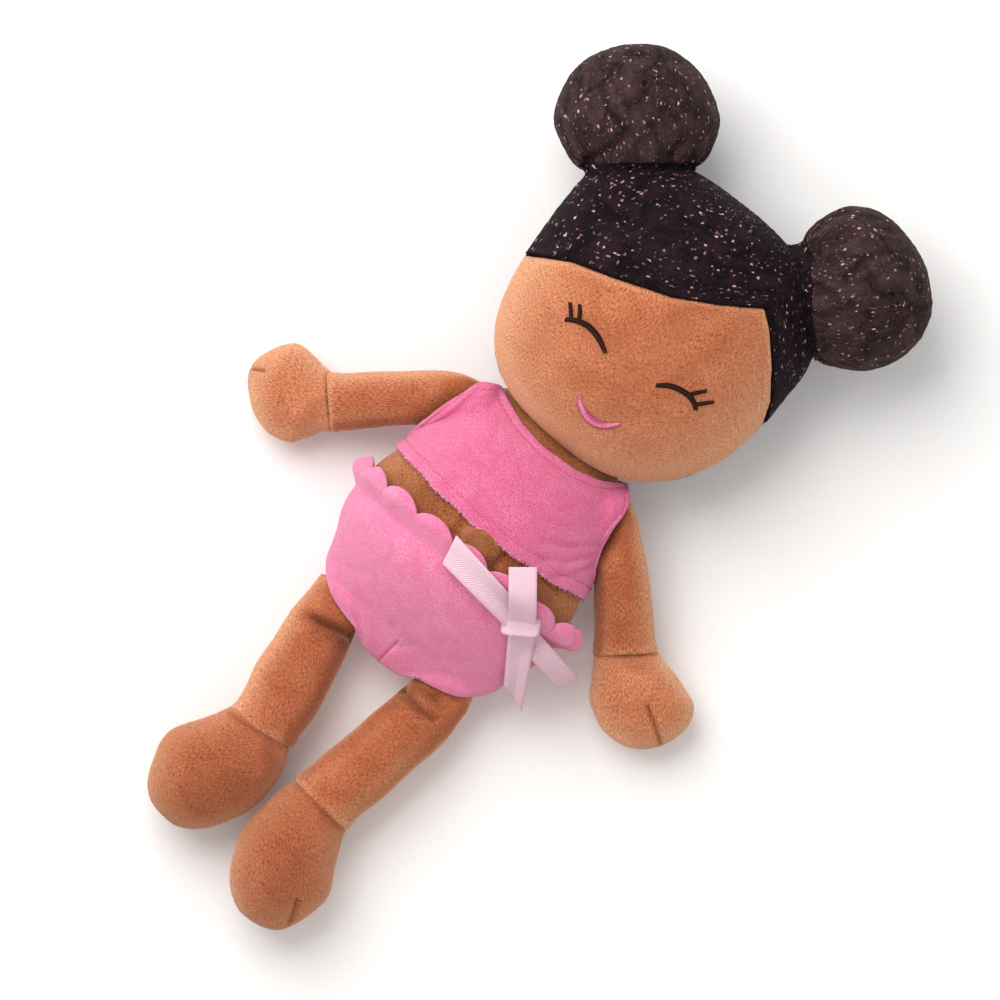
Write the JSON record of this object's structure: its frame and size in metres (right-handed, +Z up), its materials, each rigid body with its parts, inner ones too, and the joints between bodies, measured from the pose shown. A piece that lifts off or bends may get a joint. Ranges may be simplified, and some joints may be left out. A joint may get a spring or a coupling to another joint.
{
  "type": "plush doll",
  "caption": "Stuffed plush doll with hair buns, closed embroidered eyes, pink top, scalloped bottoms and a tape bow; its head and limbs swing on cloth seams.",
  "frame": {"origin": "on the floor plane under the middle of the doll as it lies on its back", "axes": "+Y towards the crown of the head, +Z up through the belly, +X towards the doll's left"},
  "size_m": [0.2135, 0.3562, 0.0759],
  "materials": {
    "skin_plush": "short-pile plush, matt with crushed light and dark patches",
    "hair_plush": "short-pile plush with pink-gold metallic flecks",
    "pink_velour": "velour, matt with a soft sheen",
    "twill_tape": "herringbone twill weave, matt",
    "fibrefill": "loose white polyester fibre",
    "eye_thread": "satin stitch, slight gloss",
    "mouth_thread": "satin stitch, slight gloss",
    "gathering_thread": "twisted sewing thread",
    "elastic": "woven elastic band"
  },
  "bodies": {
    "torso": {"torso_front_panel": "skin_plush", "torso_back_panel": "skin_plush", "torso_stuffing": "fibrefill", "navel": "skin_plush", "top_front_panel": "pink_velour", "top_back_panel": "pink_velour", "bottoms_front_panel": "pink_velour", "bottoms_back_panel": "pink_velour", "waist_elastic": "elastic", "ribbon_bow": "twill_tape"},
    "head": {"face_panel": "skin_plush", "hair_front_panel": "hair_plush", "head_back_panel": "hair_plush", "head_stuffing": "fibrefill", "right_eye_embroidery": "eye_thread", "left_eye_embroidery": "eye_thread", "mouth_embroidery": "mouth_thread", "right_bun_cover": "hair_plush", "right_bun_stuffing": "fibrefill", "right_bun_gathering_thread": "gathering_thread", "left_bun_cover": "hair_plush", "left_bun_stuffing": "fibrefill", "left_bun_gathering_thread": "gathering_thread"},
    "right_arm": {"right_arm_cover": "skin_plush", "right_hand_cover": "skin_plush", "right_arm_stuffing": "fibrefill"},
    "left_arm": {"left_arm_cover": "skin_plush", "left_hand_cover": "skin_plush", "left_arm_stuffing": "fibrefill"},
    "right_leg": {"right_leg_cover": "skin_plush", "right_foot_cover": "skin_plush", "right_leg_stuffing": "fibrefill"},
    "left_leg": {"left_leg_cover": "skin_plush", "left_foot_cover": "skin_plush", "left_leg_stuffing": "fibrefill"}
  },
  "joints": [
    {"name": "head_nod", "type": "hinge", "parent": "torso", "child": "head", "pos_m": [0, 0.0385, 0.025], "axis": [1, 0, 0], "range_deg": [-15, 15]},
    {"name": "right_arm_swing", "type": "hinge", "parent": "torso", "child": "right_arm", "pos_m": [-0.04118, 0.02001, 0.0272], "axis": [0.3564, 0.9343, 0], "range_deg": [-40, 70]},
    {"name": "left_arm_swing", "type": "hinge", "parent": "torso", "child": "left_arm", "pos_m": [0.04118, 0.02001, 0.0272], "axis": [0.3564, -0.9343, 0], "range_deg": [-40, 70]},
    {"name": "right_leg_swing", "type": "hinge", "parent": "torso", "child": "right_leg", "pos_m": [-0.0255, -0.0696, 0.019], "axis": [-1, 0, 0], "range_deg": [-20, 80]},
    {"name": "left_leg_swing", "type": "hinge", "parent": "torso", "child": "left_leg", "pos_m": [0.0255, -0.0696, 0.019], "axis": [-1, 0, 0], "range_deg": [-20, 80]}
  ]
}
